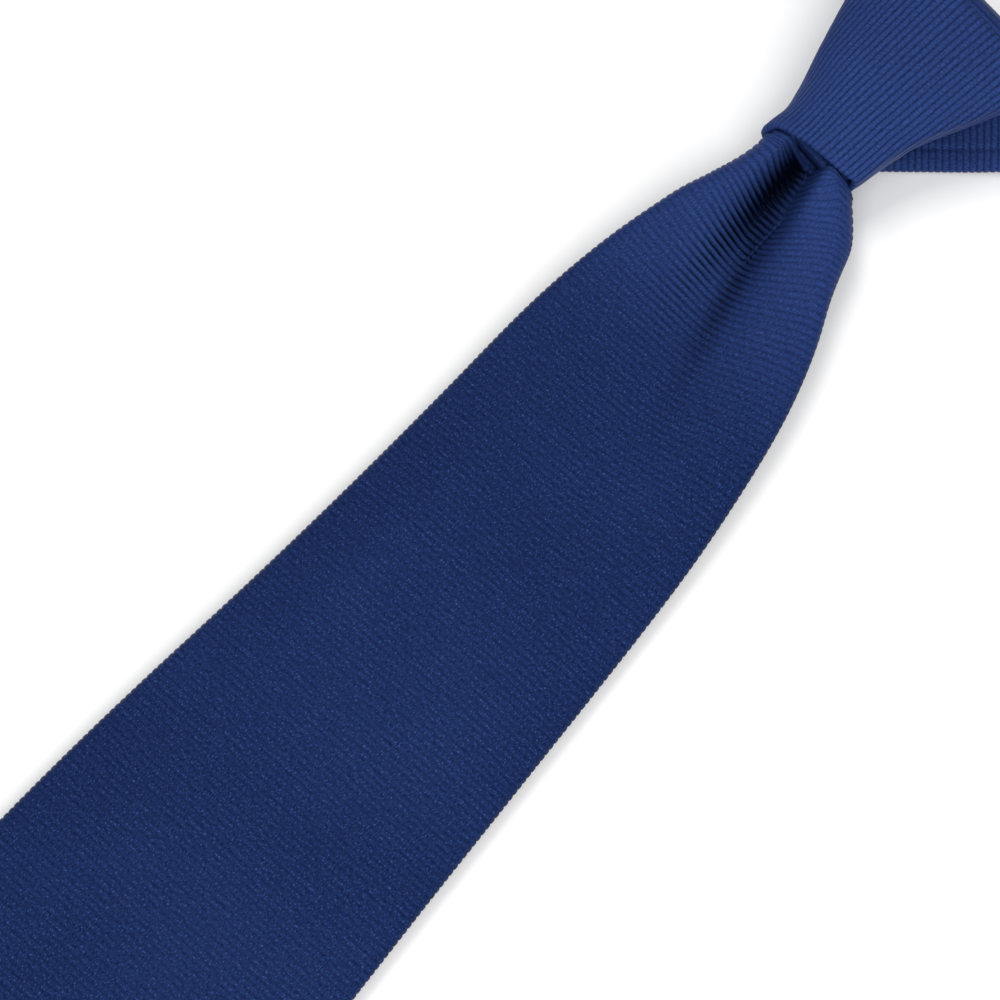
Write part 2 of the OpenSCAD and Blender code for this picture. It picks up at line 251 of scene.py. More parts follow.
class Finish:
    """A material in the making."""

    def __init__(self, name, **constants):
        self.material = bpy.data.materials.new(name)
        self.material.use_nodes = True
        self.tree = self.material.node_tree
        self.shader = self.tree.nodes["Principled BSDF"]
        for socket, value in constants.items():
            self.shader.inputs[socket.replace("_", " ")].default_value = value

    def node(self, kind, settings=None, inputs=None, output=0):
        made = self.tree.nodes.new(kind)
        for setting, value in (settings or {}).items():
            setattr(made, setting, value)
        for socket, value in (inputs or {}).items():
            self.feed(made.inputs[socket], value)
        return Wire(self, made.outputs[output])

    def feed(self, socket, value):
        if isinstance(value, Wire):
            self.tree.links.new(value.socket, socket)
        else:
            socket.default_value = value

    def set(self, **inputs):
        for socket, value in inputs.items():
            self.feed(self.shader.inputs[socket.replace("_", " ")], value)
        return self.material

    def cloth(self):
        """Millimetres of cloth along the cords and across them."""
        uv = self.node("ShaderNodeTexCoord", output="UV")
        return [self.node("ShaderNodeSeparateXYZ", {}, {0: uv}, output=axis) for axis in (0, 1)]

    def place(self):
        return self.node("ShaderNodeTexCoord", output="Object")

    def along(self, axis):
        return self.node("ShaderNodeSeparateXYZ", {}, {0: self.place()}, output=axis)

    def noise(self, spot, scale, detail=2.0, rough=0.5):
        inputs = {"Vector": spot, "Scale": scale, "Detail": detail, "Roughness": rough}
        return self.node("ShaderNodeTexNoise", {}, inputs)

    def spot(self, x, y):
        return self.node("ShaderNodeCombineXYZ", {}, {0: x, 1: y})

    def mix(self, share, first, second):
        """A colour between two colours."""
        inputs = {"Factor": share, 6: first, 7: second}
        return self.node("ShaderNodeMix", {"data_type": "RGBA"}, inputs, output=2)

    def far(self, near, end):
        """0 within near of the origin, 1 beyond end."""
        settings = {"operation": "LENGTH"}
        return self.node("ShaderNodeVectorMath", settings, {0: self.place()}, output="Value").above(near, end)

    def bump(self, height, strength, distance):
        inputs = {"Height": height, "Strength": strength, "Distance": distance}
        return self.node("ShaderNodeBump", {}, inputs)


# %% [markdown]
# The silk is navy. Its cords are wrapped by fine threads that run down the tie, a shade apart from one
# another, with light slubs where a thread swells and a few blue flecks. The grooves are painted darker, as
# painted shade for the light they keep. The gloss is weak and takes the blue of the thread. The knot, the
# loop and the first stretch of the blade are painted a lighter blue, a painted sheen for the brighter light
# they catch. Beside the dimple, where the gathers pinch the cloth, painted shade stands in for the light lost
# between the cords: a dark pit, a bank on its left with painted bright crowns and dark grooves, and a furrow
# on its right. All of these are painted by the tie's own places, on top of the real relief, so they stay as
# they are when the light changes.

# %% Rib silk
THREAD = 0.21          # millimetres from one fine thread to the next
# the share below is painted shade, taken off the colour in each groove
GROOVE_SHADE = 0.75          # share of the colour that a groove loses
FLECK = (0.045, 0.09, 0.3, 1)
# painted sheen: the lighter blue laid on the knot, the loop and the first stretch of the blade
PAINTED_SHEEN = (0.034, 0.068, 0.250, 1)
# painted highlight for the crowns of the cords on the bank beside the dimple
GLINT = (0.035, 0.075, 0.24, 1)
# painted shade for the pit, the bank's grooves and the furrow beside the dimple
PAINTED_SHADE = (0.0006, 0.0010, 0.0042, 1)


def paint_gather_shade(silk, colour, phase, hollow, down):
    """Paints shade over the gathers: the dark pit, the bank with painted bright crowns and dark grooves, and
    the furrow; down is in millimetres below the knot.
    """
    across = silk.along(0) / MM
    pit = (across + 5.7).bell(0, 3.1) * down.bell(4, 20) * down.above(0, 1.5)
    bank = (across + 8 - down * 0.05).bell(0, 3.6) * down.bell(22, 17)
    furrow = (across - down * 0.11 - down * down * 0.0014 + 3.6).bell(0, 2.6) * down.bell(28, 19)
    # painted highlight on the crowns of the bank's cords
    colour = silk.mix(bank * (1 - phase) ** 2 * 0.5, colour, GLINT)
    # painted shade over the pit, the bank's grooves and the furrow
    shade_share = pit * (phase * 0.2 + 1) + bank * hollow * 0.9 + furrow * (hollow * 0.5 + 0.5)
    return silk.mix(shade_share, colour, PAINTED_SHADE)


def rib_silk(name, deep, bright):
    silk = Finish(name, Specular_IOR_Level=0.04, Specular_Tint=(0.3, 0.52, 1, 1))
    run, rib = silk.cloth()
    phase = abs((rib / (RIB / MM)).fraction() * 2 - 1)
    hollow = phase ** 2.6
    threads = (run * (2 * np.pi / THREAD)).wave() * 0.5 + 0.5
    slub = silk.noise(silk.spot(run * 3.4, rib * 1.1), 1.0, 4.0, 0.7)
    cloud = silk.noise(silk.place(), 28.0, 2.0)
    fleck = silk.noise(silk.spot(run * 3.3, rib * 2.1), 1.0, 1.0).above(0.6, 0.72)
    shade = (slub - 0.5) * 3.5 + (cloud - 0.5) * 0.6 + threads * 0.2 + 0.3
    colour = silk.mix(fleck * 0.7, silk.mix(shade, deep, bright), FLECK)
    down = (knot_y - silk.along(1)) / MM
    # painted sheen: near and above the knot the colour is lifted towards a lighter blue
    sheen_share = 1 - down.above(4, 60)
    colour = silk.mix(sheen_share * 0.75, colour, silk.mix(shade, bright, PAINTED_SHEEN))
    colour = paint_gather_shade(silk, colour, phase, hollow, down)
    # painted shade: the grooves of the cords are painted darker, more so on the knot
    dark = tuple(c * (1 - GROOVE_SHADE) for c in deep[:3]) + (1,)
    knotted = 1 - down.above(-2, 1)
    colour = silk.mix(hollow * (knotted * 0.3 + 0.36), colour, dark)
    height = threads * 0.5 + slub * 0.8
    return silk.set(Base_Color=colour, Roughness=(slub - 0.5) * 0.25 + 0.38,
                    Normal=silk.bump(height, 0.35, 0.06 * MM))


NAVY = (0.0046, 0.0118, 0.0525, 1)
NAVY_LIGHT = (0.0150, 0.0320, 0.119, 1)
silk = rib_silk("navy_rib_silk", NAVY, NAVY_LIGHT)
print(f"{silk.name}: {len(silk.node_tree.nodes)} nodes")

# %% [markdown]
# The other finishes are simpler: a satin tipping, a brushed wool interlining, twisted thread, and the
# woven satin of a blank label.

# %% Lining, wool, thread and label
def satin(name, deep, bright, roughness):
    cloth = Finish(name, Specular_IOR_Level=0.4, Sheen_Weight=0.1)
    run, rib = cloth.cloth()
    weave = (run * 9.0 + rib * 9.0).wave() * 0.5 + 0.5
    shade = cloth.noise(cloth.spot(run * 2.0, rib * 0.5), 1.0, 3.0)
    return cloth.set(Base_Color=cloth.mix(weave * 0.3 + shade * 0.7, deep, bright),
                     Roughness=shade * 0.2 + roughness, Normal=cloth.bump(weave + shade, 0.3, 0.05 * MM))


def brushed_wool():
    wool = Finish("brushed_wool", Specular_IOR_Level=0.2, Sheen_Weight=0.3)
    fibres = wool.noise(wool.place(), 900.0, 4.0, 0.7)
    return wool.set(Base_Color=wool.mix(fibres, (0.55, 0.5, 0.4, 1), (0.8, 0.77, 0.68, 1)),
                    Roughness=fibres * 0.2 + 0.75, Normal=wool.bump(fibres, 0.6, 0.3 * MM))


def twisted_thread():
    thread = Finish("twisted_thread", Specular_IOR_Level=0.4)
    run, rib = thread.cloth()
    twist = (run * 5.0 + rib * 7.0).wave() * 0.5 + 0.5
    return thread.set(Base_Color=thread.mix(twist, (0.008, 0.016, 0.06, 1), (0.03, 0.055, 0.18, 1)),
                      Roughness=twist * 0.2 + 0.45, Normal=thread.bump(twist, 0.6, 0.1 * MM))


tipping = satin("navy_satin_tipping", (0.008, 0.014, 0.055, 1), (0.016, 0.026, 0.09, 1), 0.3)
label_cloth = satin("blank_label_satin", (0.62, 0.62, 0.58, 1), (0.78, 0.78, 0.74, 1), 0.4)
wool = brushed_wool()
thread = twisted_thread()
print("finishes:", ", ".join(finish.name for finish in (tipping, label_cloth, wool, thread)))


def finished(piece, material, body=None, replaced=()):
    """Gives a piece its finish and its slot, seats it on its body and hides the CAD nodes it stands for."""
    piece.data.materials.clear()
    piece.data.materials.append(material)
    if body:
        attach(piece, body)
    if replaced:
        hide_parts(*replaced)
    return piece


# %% [markdown]
# A folded strip, such as the blade or the tail, is one piece of silk whose two long edges are turned to the
# middle of the back and stitched. Each row of its sleeve goes across the face, round one fold, back along
# one flap to its turned edge, over the open back, and home along the other flap. The flap's edge is at the
# middle as far as the stitching goes, then the two open in an upside-down V down to the turned point.

# %% Section of a folded strip
def strip_section(face, fold, flap, back):
    """Columns round the strip: share of the half width, share of the flap's edge, rounding and lift."""
    columns = [(x * (0.6 + 0.4 * x * x), 0, 0, 1, 0) for x in np.linspace(-1, 1, face + 1)]
    turn = np.radians(np.linspace(90, -90, fold + 2)[1:-1])
    columns += [(1, 0, np.cos(a), np.sin(a), 0) for a in turn]
    columns += [(1 - b, b, 0, -1, 0) for b in np.linspace(0, 1, flap + 1)]
    columns += [(0, b, 0, -1, 1) for b in np.linspace(1, -1, back + 1)]
    columns += [(b - 1, -b, 0, -1, 0) for b in np.linspace(1, 0, flap + 1)]
    columns += [(-1, 0, -np.cos(a), np.sin(a), 0) for a in turn[::-1]]
    return np.array(columns).T


HEM = 0.6 * MM         # how far the lined back lies above the flaps' edges
FLAP_LEAST = 0.25 * MM


def folded_strip(s, section, half, middle, under, thick, flap_edge):
    """Rows of a strip lying along the tie; s, half and the other sizes are one column of rows each."""
    across, edge, cos, sin, lift = section
    fold_r = np.minimum(thick * 0.5, half * 0.45)
    flat = half - fold_r
    x = middle + across * flat + edge * np.minimum(flap_edge, flat * 0.97) + cos * fold_r
    z = under + thick / 2 * (1 + sin) + lift * HEM
    return np.stack([x, knot_y - s + 0 * x, z], axis=2), np.clip(1 + sin, 0, 2) / 2 + 0 * x


def flap_line(s, start, belly, end, wide, margin):
    """Half width of the opening between the flaps."""
    opening = (wide - margin) * np.clip((s - start) / (belly - start), 0, 1)
    point = (end - s) * wide / (end - belly) - margin * 1.5
    return np.maximum(np.minimum(opening, point), FLAP_LEAST)


print(f"the tail's section has {strip_section(16, 4, 4, 2).shape[1]} columns")

# %% [markdown]
# The tail is the narrow end. It leaves the knot behind the blade and lies flat on the table under it. Inside
# the knot it is gathered to a narrow band, and it is long enough there to be pulled through.

# %% Tail
TAIL_T = 3 * MM
TAIL_RISE = 2.3 * MM
TAIL_NECK = 6 * MM      # half its width inside the knot
TAIL_TOP = 15 * MM      # half the width its sides would have at the knot
TAIL_IN_KNOT = 40 * MM


def tail_half(s):
    wide = TAIL_TOP + (tail_wide - TAIL_TOP) * s / tail_belly_s
    body = TAIL_NECK + (wide - TAIL_NECK) * ease(2 * MM, 40 * MM, s)
    return np.maximum(np.minimum(body, tail_len - s), 0.3 * MM)


def tail_middle(s):
    return KNOT_SHIFT * (1 - ease(0, 60 * MM, s))


def tail_under(s):
    return TAIL_RISE * (1 - ease(10 * MM, 200 * MM, s))


def tail_silk():
    s = rows_of(-TAIL_IN_KNOT, tail_len)[:, None]
    flaps = flap_line(s, tail_stitch_s, tail_belly_s, tail_len, tail_wide, 5 * MM)
    base, top = folded_strip(s, strip_section(16, 4, 4, 2), tail_half(s), tail_middle(s), tail_under(s),
                             TAIL_T - 0.4 * MM * bell(s, tail_len, 12 * MM), flaps)
    wave = np.sin(s / (41 * MM)) * np.cos(base[..., 0] / (16 * MM) + s / (90 * MM))
    base[..., 2] += 0.12 * MM * top * wave
    return sleeve("tail_silk", base, s + 0 * base[..., 0])


tail = finished(tail_silk(), silk, "tail", ["tail_shell"])

# %% [markdown]
# The blade is the wide end, and the piece that is looked at. It leaves the knot as a fat gathered roll with
# a dimple pressed into it, fans out within a hand's breadth, and then widens steadily down to its point.
# The gathers fan the cords: each row of the sleeve bows down in the middle so that it crosses the cloth
# square. The dimple is a valley that starts left of the knot's middle and runs out to the right.

# %% Blade outline and heights
FLARE = 0.0395          # widening on each side for each millimetre of length
THROAT_HALF = 10.5 * MM
GATHER = 29 * MM        # length over which the gathers spread out
BODY_T = 3.6 * MM       # thickness of the lined strip
ROLL_T = 9.2 * MM       # and of the gathered roll at the knot
BELLY_SWELL = 1.9 * MM
THROAT_SWELL = 0.9 * MM
BLADE_MIDDLE = [(-10, -4.4), (0, -4), (4, -2.2), (8, -1.1), (14, -1), (20, -1.1), (27, -0.6), (38, -0.1),
                (57, 0.4), (76, 1), (100, 1.1), (130, 0.7), (160, 0), (200, -0.3), (260, 0), (480, 0)]


def blade_half(s):
    flare = blade_wide - FLARE * (belly_s - s)
    gathers = (blade_wide - FLARE * belly_s - THROAT_HALF) * np.exp(-(np.clip(s, 0, None) / GATHER) ** 1.4)
    tucked = 1.6 * MM * (1 - ease(-2.5 * MM, 0.8 * MM, s))
    point = (blade_len - s) * blade_wide / (blade_len - belly_s)
    soft = 1.2 * MM
    body = flare - gathers - tucked
    smooth_min = (body + point - np.sqrt((body - point) ** 2 + soft ** 2)) / 2
    swell = BELLY_SWELL * bell(s, 190 * MM, 55 * MM) + THROAT_SWELL * bell(s, 8 * MM, 6 * MM)
    return np.maximum(smooth_min + swell, 0.35 * MM)


def blade_under(s):
    over_tail = 4 * MM + TAIL_RISE * (1 - ease(70 * MM, 260 * MM, s))
    past_tail = ease(tail_len + 66 * MM, tail_len + 116 * MM, s)
    return over_tail * (1 - past_tail) + 0.5 * MM * past_tail


def blade_thick(s):
    roll = (ROLL_T - BODY_T) * np.exp(-(np.clip(s, 0, None) / (22 * MM)) ** 1.3)
    thin_point = 1.2 * MM * ease(blade_len - 40 * MM, blade_len, s)
    return BODY_T + roll - thin_point


FURROW = [(-10, -3), (0, -3), (8, -2.4), (14, -0.8), (24, 0.6), (33, 2), (46, 6), (60, 9), (90, 12)]
PIT_DEEP = 9.2 * MM
FURROW_DEEP = 3.2 * MM


def dimple(s, x):
    """Depth of the dimple below the roll of the throat: a deep short pit, and a long furrow on its right."""
    down = np.clip(s, 0, None)
    off = x + 3.6 * MM - 0.04 * down
    wide = np.where(off < 0, 4.4 * MM + 0.14 * down, 2.4 * MM + 0.07 * down)
    pit = PIT_DEEP * np.exp(-(down / (23 * MM)) ** 1.8) * np.exp(-(np.abs(off) / wide) ** 2.5)
    off = x - through(FURROW, s)
    wide = np.where(off < 0, 3 * MM + 0.1 * down, 2 * MM + 0.09 * down)
    furrow = FURROW_DEEP * ease(2 * MM, 16 * MM, s) * np.exp(-(down / (48 * MM)) ** 2.4)
    return pit + furrow * np.exp(-(off / wide) ** 2)


def blade_wave(s, x):
    """Broad soft unevenness of a blade that has been worn and laid down."""
    broad = np.sin(s / (33 * MM) + x / (21 * MM)) + 0.7 * np.sin(s / (19 * MM) - x / (27 * MM) + 1)
    return 0.16 * MM * broad * ease(30 * MM, 80 * MM, s)


for s in (0, 100 * MM, 300 * MM):
    print(f"blade {2000 * float(blade_half(s)):.1f} mm wide, {s / MM:.0f} mm below the knot")

# %% Blade silk
BLADE_IN_KNOT = 9 * MM
GATHER_RELIEF = 0.34 * MM   # how much deeper the grooves are where the gathers pinch


def blade_rows(section):
    """Rows of the blade's sleeve, and the distance of each point across the cords."""
    v = rows_of(-BLADE_IN_KNOT, blade_len)[:, None]
    across = section[0] * 0.88 + section[2] * 0.12
    slope = np.gradient(blade_half(v)[:, 0], v[:, 0])[:, None] - FLARE
    bow = 0.5 * np.clip(slope, 0, 1) * blade_half(v) * (1 - ease(80 * MM, 120 * MM, v))
    packed = 4.2 * MM * (1 - np.exp(-np.clip(v, 0, None) / (13 * MM))) * (1 - ease(45 * MM, 110 * MM, v))
    s = v - bow * across ** 2 * ease(0, 6 * MM, v) - packed * ease(0.05, 0.9, across)
    half = blade_half(s)
    flaps = flap_line(s, stitch_s, belly_s, blade_len, blade_wide, 9 * MM)
    middle = through(BLADE_MIDDLE, s)
    base, top = folded_strip(s, section, half, middle, blade_under(s), blade_thick(s), flaps)
    x, z = base[..., 0], base[..., 2]
    share = np.clip(np.abs(x - middle) / half, 0, 1)
    droop = (blade_under(s) - 0.6 * MM) * 0.7 * ease(0.5, 1.1, share) * ease(12 * MM, 100 * MM, s)
    crown = 0.5 * MM * (1 - share ** 2)
    tuck = 3.4 * MM * share ** 2 * (1 - ease(2 * MM, 20 * MM, s))
    lobe = 1.3 * MM * bell(s, 12 * MM, 16 * MM) * ease(0.1, 0.6, (x - middle) / half)
    z += top * (crown + lobe - tuck - dimple(s, x)) - droop + blade_wave(s, x) * (0.35 + 0.65 * top)
    return base, v + 0 * x


def blade_silk():
    base, rib = blade_rows(strip_section(48, 4, 3, 2))
    s, x = knot_y - base[..., 1], base[..., 0]
    bank = bell(s, 18 * MM, 20 * MM) * bell(x, -8 * MM, 4.5 * MM)
    beside = 0.6 * bell(s, 38 * MM, 18 * MM) * bell(x, 2 * MM, 7 * MM)
    return sleeve("blade_silk", base, rib, RIB_DEEP + GATHER_RELIEF * np.minimum(bank + beside, 1))


blade = blade_silk()
finished(blade, silk, None, ["blade_throat", "blade_shell"])
knot_y - 12 * MM
knot_y - 60 * MM
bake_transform(blade)

# %% [markdown]
# The knot's outer wrap is the last turn of the blade. It goes once round the front and sides, so its cords
# run up the knot, parallel and a cord's width apart, and leave over the sides as the knot widens. Its rows
# go from side to side over the front, and each row runs up the outside, round the upper fold, down the
# inside and round the lower fold. The lower fold lies square to the blade and ends in a small lip.

# %% Knot outer wrap
KNOT_LEN = 37.6 * MM    # of the wrap that shows, shorter than its CAD solid by the upper fold
LOWER_CREST = 18.8 * MM
WRAP_RELIEF = 0.28 * MM
WRAP_LEFT = [(0, 11.2), (3, 11), (8, 12.4), (14, 14.6), (20, 16.9), (26, 19.1), (33, 21.3), (41, 23.4)]
WRAP_RIGHT = [(0, 10.2), (3, 10.6), (8, 11), (13, 11.8), (18, 13.4), (24, 15.8), (32, 18.8), (41, 21.8)]


def in_knot(x, v, z):
    """Places in the knot's own frame, v up its axis, as places in the row frame."""
    cos, sin = np.cos(KNOT_TURN), np.sin(KNOT_TURN)
    return np.stack([KNOT_SHIFT + x * cos + v * sin, knot_y - x * sin + v * cos, z + 0 * x], axis=-1)


def wrap_outside(a, v):
    """Outer face of the wrap in the knot's frame, at angle a round the front and height v up the knot."""
    cos, sin = np.cos(a), np.sin(a)
    half = np.where(cos < 0, through(WRAP_LEFT, v), through(WRAP_RIGHT, v))
    x = half * np.sign(cos) * np.abs(cos) ** (2 / 2.2)
    right = ease(0, 1, cos)
    low = 1.8 * MM + 7.4 * MM * np.maximum(ease(8 * MM, 16 * MM, v), 0.6 * right)
    crest = LOWER_CREST + (knot_high - LOWER_CREST) * ease(-6 * MM, 46 * MM, v)
    level = low + (crest - low) * (0.42 + 0.3 * right)
    rise = np.where(sin > 0, crest - level, level - low)
    z = level + rise * np.sign(sin) * np.abs(sin) ** (2 / (2.1 + 0.9 * right))
    press = 1.2 * MM * bell(x, -3 * MM, 4.5 * MM) * (1 - ease(0, 12 * MM, v))
    return x, z - press


def wrap_silk():
    """Rows from side to side over the front, each closed through the two folds and the inside."""
    rows, up = 560, 46
    a = np.radians(np.linspace(238, -58, rows + 1))[:, None]
    cos = np.cos(a)
    lower = 0.14 * 10.4 * MM * cos + 0.3 * MM * ease(0.86, 1, cos) - 0.8 * MM * ease(0.8, 1, -cos)
    share = np.linspace(0, 1, up + 1) ** 1.15
    v = lower + (KNOT_LEN - lower) * share
    x, z = wrap_outside(a, v)
    outside = in_knot(x, v, z)
    along = np.gradient(outside, axis=1)
    along /= np.linalg.norm(along, axis=2, keepdims=True)
    across = np.gradient(outside, axis=0)
    normal = np.cross(along, across)
    normal /= np.linalg.norm(normal, axis=2, keepdims=True)
    normal *= np.sign(normal[rows // 2, up // 2, 2])
    lip = np.where(share > 0.5, 1.15 * MM, 0.8 * MM)[None, :, None]
    rounds = np.radians(np.linspace(0, 180, 8)[1:-1])[None, :, None]
    inward, along = normal * lip, along * lip
    upper = outside[:, -1:] - inward[:, -1:] * (1 - np.cos(rounds)) + along[:, -1:] * np.sin(rounds)
    under = outside[:, ::-4] - inward[:, ::-4] * 2
    bottom = outside[:, :1] - inward[:, :1] * (1 + np.cos(rounds)) - along[:, :1] * np.sin(rounds)
    base = np.concatenate([outside, upper, under, bottom], axis=1)
    reach = (x + 0.6 * np.sign(x) * (z.max(axis=0) - z)) * (1 + 0.0032 * (20 - v / MM))
    rib = np.concatenate([reach, np.repeat(reach[:, -1:], rounds.size, 1), reach[:, ::-4],
                          np.repeat(reach[:, :1], rounds.size, 1)], axis=1)
    return sleeve("knot_wrap_silk", base, rib, WRAP_RELIEF)


wrap = finished(wrap_silk(), silk, "knot", ["knot_front_wrap"])

# %% [markdown]
# Behind the outer wrap are the turns that made the knot: the pass that comes up from behind and over, the
# blade's last stretch down through the knot, the first crossing and the turn behind. Each is a flat folded
# band, so one helper lays a rounded band along any path.

# %% Bands along a path
def band_section(face, fold):
    """Columns round a band: share of its half width, then the rounding of its edges."""
    turn = np.radians(np.linspace(90, -90, fold + 2)[1:-1])
    columns = [(x, 0, 1) for x in np.linspace(-1, 1, face + 1)]
    columns += [(1, np.cos(a), np.sin(a)) for a in turn]
    columns += [(x, 0, -1) for x in np.linspace(1, -1, face + 1)]
    columns += [(-1, -np.cos(a), np.sin(a)) for a in turn[::-1]]
    return np.array(columns).T


def laid_band(centre, across, up, half, thick, section):
    """Rows of a band: centre, across and up are arrays of points and directions, one a row."""
    share, cos, sin = section
    half = np.broadcast_to(np.asarray(half), (len(centre),))[:, None]
    thick = np.broadcast_to(np.asarray(thick), (len(centre),))[:, None]
    fold_r = np.minimum(thick * 0.5, half * 0.45)
    sideways = (share * (half - fold_r) + cos * fold_r)[..., None]
    upward = (sin * thick / 2)[..., None]
    return centre[:, None] + across[:, None] * sideways + up[:, None] * upward


def turn_in_knot(directions):
    cos, sin = np.cos(KNOT_TURN), np.sin(KNOT_TURN)
    x, y, z = np.moveaxis(np.asarray(directions, float), -1, 0)
    return np.stack([x * cos + y * sin, -x * sin + y * cos, z], axis=-1)


def knot_band(name, path, across, up, half, thick, node, deep=RIB_DEEP):
    """A band inside the knot; path is in the knot's frame, a point a row, four rows to a cord."""
    path = np.asarray(path, float)
    centre = in_knot(path[:, 0], path[:, 1], path[:, 2])
    base = laid_band(centre, turn_in_knot(across), turn_in_knot(up), half, thick, band_section(12, 4))
    reach = np.cumsum(np.linalg.norm(np.diff(centre, axis=0, prepend=centre[:1]), axis=1))
    piece = sleeve(name, base, reach[:, None] + 0 * base[..., 0], deep)
    finished(piece, silk, "knot", [node])
    return piece


def crossing(name, node, half_x, v1, v2, z1, z2):
    """A turn that crosses the knot from side to side."""
    x = np.arange(-half_x, half_x, RIB / PER_RIB)
    arch = 0.4 * MM * (x / half_x) ** 2
    path = np.stack([x, np.full_like(x, (v1 + v2) / 2), (z1 + z2) / 2 - arch], axis=1)
    across = np.tile([0.0, 1.0, 0.0], (len(x), 1))
    up = np.tile([0.0, 0.0, 1.0], (len(x), 1))
    return knot_band(name, path, across, up, (v2 - v1) / 2, z2 - z1, node)


crossing("knot_back_silk", "knot_back_wrap", 8.2 * MM, 2.5 * MM, 35 * MM, 0.1 * MM, 2 * MM)
crossing("knot_cross_silk", "knot_first_cross", 7.4 * MM, 3 * MM, 36 * MM, 5.8 * MM, 9.2 * MM)


def stretch_silk():
    """The blade's last stretch, straight down through the knot."""
    v = np.arange(-0.3 * MM, 35 * MM, RIB / PER_RIB)
    path = np.stack([0 * v, v, np.full_like(v, 12 * MM)], axis=1)
    across = np.tile([1.0, 0.0, 0.0], (len(v), 1))
    up = np.tile([0.0, 0.0, 1.0], (len(v), 1))
    return knot_band("knot_stretch_silk", path, across, up, 6.2 * MM, 3.6 * MM,
                     "knot_blade_stretch")


def pass_silk():
    """The pass that comes up from behind and turns over the knot's top."""
    r = 6.1 * MM
    outer_r = 7 * MM
    a = np.radians(np.arange(104, -64, -np.degrees(RIB / PER_RIB / outer_r)))
    path = np.stack([0 * a, 36.4 * MM + r * np.cos(a) * 1.15, 16.8 * MM + r * np.sin(a)], axis=1)
    across = np.tile([1.0, 0.0, 0.0], (len(a), 1))
    up = np.stack([0 * a, np.cos(a), np.sin(a)], axis=1)
    half = 12.5 * MM + 3.5 * MM * ease(0, 1.6, 1.6 - a)
    return knot_band("knot_pass_silk", path, across, up, half, 2.4 * MM,
                     "knot_over_pass", 0.12 * MM)


stretch_silk()
pass_silk()

# %% [markdown]
# The neck loop is the stretch that goes round the collar. Two bands come out from under the knot's wings
# nearly flat, turn on edge within a hand's breadth, and carry on as one standing band round the loop. Each
# band has a crease along its outer edge, where the cloth was folded when it was pressed.

# %% Neck loop
APEX_Y = 3.6 * MM
BAND_ANGLE = np.radians(49.5)
FLAT_LEAN, BAND_LEAN = np.radians([8, 78])
GATHERED_W = 20 * MM
BAND_W = 36 * MM
UNDER_KNOT_T = 9 * MM
SEAM_T = 75 * MM
SEAM_GAP = 0.6 * MM
RIGHT_OUT = 2.1 * MM    # how far the right band stands out from its CAD solid near the knot
LEFT_IN = 9.5 * MM      # how far the left band is tucked in behind the knot
straight_t = -KNOT_SHIFT * np.sin(BAND_ANGLE) + (loop_y - APEX_Y) * np.cos(BAND_ANGLE)
half_t = straight_t + loop_r * (np.pi / 2 + BAND_ANGLE)


def loop_rows(t, side):
    """Centre, across and up of the band at distance t from under the knot; side is 1 on the right."""
    a = (t - straight_t) / loop_r - BAND_ANGLE
    straight = (t < straight_t)[:, None]
    edge = np.where(straight,
                    np.stack([KNOT_SHIFT + t * np.sin(BAND_ANGLE), APEX_Y + t * np.cos(BAND_ANGLE)], 1),
                    np.stack([loop_r * np.cos(a), loop_y + loop_r * np.sin(a)], 1))
    inward = np.where(straight, np.stack([-np.cos(BAND_ANGLE) + 0 * t, np.sin(BAND_ANGLE) + 0 * t], 1),
                      np.stack([-np.cos(a), -np.sin(a)], 1))
    rise = ease(28 * MM, 78 * MM, t)
    lean = FLAT_LEAN + (BAND_LEAN - FLAT_LEAN) * rise
    wide = GATHERED_W + (BAND_W - GATHERED_W) * rise
    cos, sin = np.cos(lean), np.sin(lean)
    across = np.stack([inward[:, 0] * cos, inward[:, 1] * cos, sin], 1)
    up = np.stack([-inward[:, 0] * sin, -inward[:, 1] * sin, cos], 1)
    corner = np.hstack([edge + inward * (BODY_T * sin)[:, None], np.zeros((len(t), 1))])
    centre = corner + across * (wide / 2)[:, None] + up * BODY_T / 2
    out = RIGHT_OUT * max(side, 0) * (1 - ease(60 * MM, 110 * MM, t))
    centre[:, :2] -= inward * out[:, None]
    flip = np.array([side, 1, 1])
    centre[:, 0] -= (LEFT_IN if side < 0 else 0) * bell(t, 40 * MM, 19 * MM)
    return centre * flip + [0, knot_y, 0], across * flip, up * flip, wide / 2


def side_rows(t, side):
    """Rows of one side, or with side 0 of the whole loop: past the far end, t comes back on the left."""
    if side:
        return loop_rows(t, side)
    right = loop_rows(np.minimum(t, 2 * half_t - t), 1)
    left = loop_rows(np.minimum(t, 2 * half_t - t), -1)
    on_left = t > half_t
    pick = [np.where(on_left[:, None], a, b) for a, b in zip(left[:3], right[:3])]
    return pick[0], pick[1], pick[2], right[3]


def ribbed_band(name, t, side, node):
    """A stretch of the loop in silk, with the crease of its pressed outer edge."""
    centre, across, up, half = side_rows(t, side)
    section = band_section(40 if side else 18, 5)
    base = laid_band(centre, across, up, half, BODY_T, section)
    crease = 0.5 * MM * bell(section[0] * half[:, None], -half[:, None] + 3.2 * MM, 0.4 * MM)
    crease = crease * (section[2] > 0.99)
    base -= up[:, None] * crease[..., None]
    piece = sleeve(name, base, t[:, None] + 0 * base[..., 0])
    finished(piece, silk, "neck_loop", [node])
    return piece


def tightening(piece):
    """Gives the piece a mesh of its own; nothing here draws the loop in as the tail is pulled."""
    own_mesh(piece)


to_seam = rows_of(UNDER_KNOT_T, SEAM_T)
past_seam = rows_of(SEAM_T + SEAM_GAP, 2 * half_t - SEAM_T - SEAM_GAP)
bands = [ribbed_band("band_right_silk", to_seam, 1, "band_right"),
         ribbed_band("band_left_silk", to_seam, -1, "band_left"),
         ribbed_band("neck_silk", past_seam, 0, "neck_shell")]


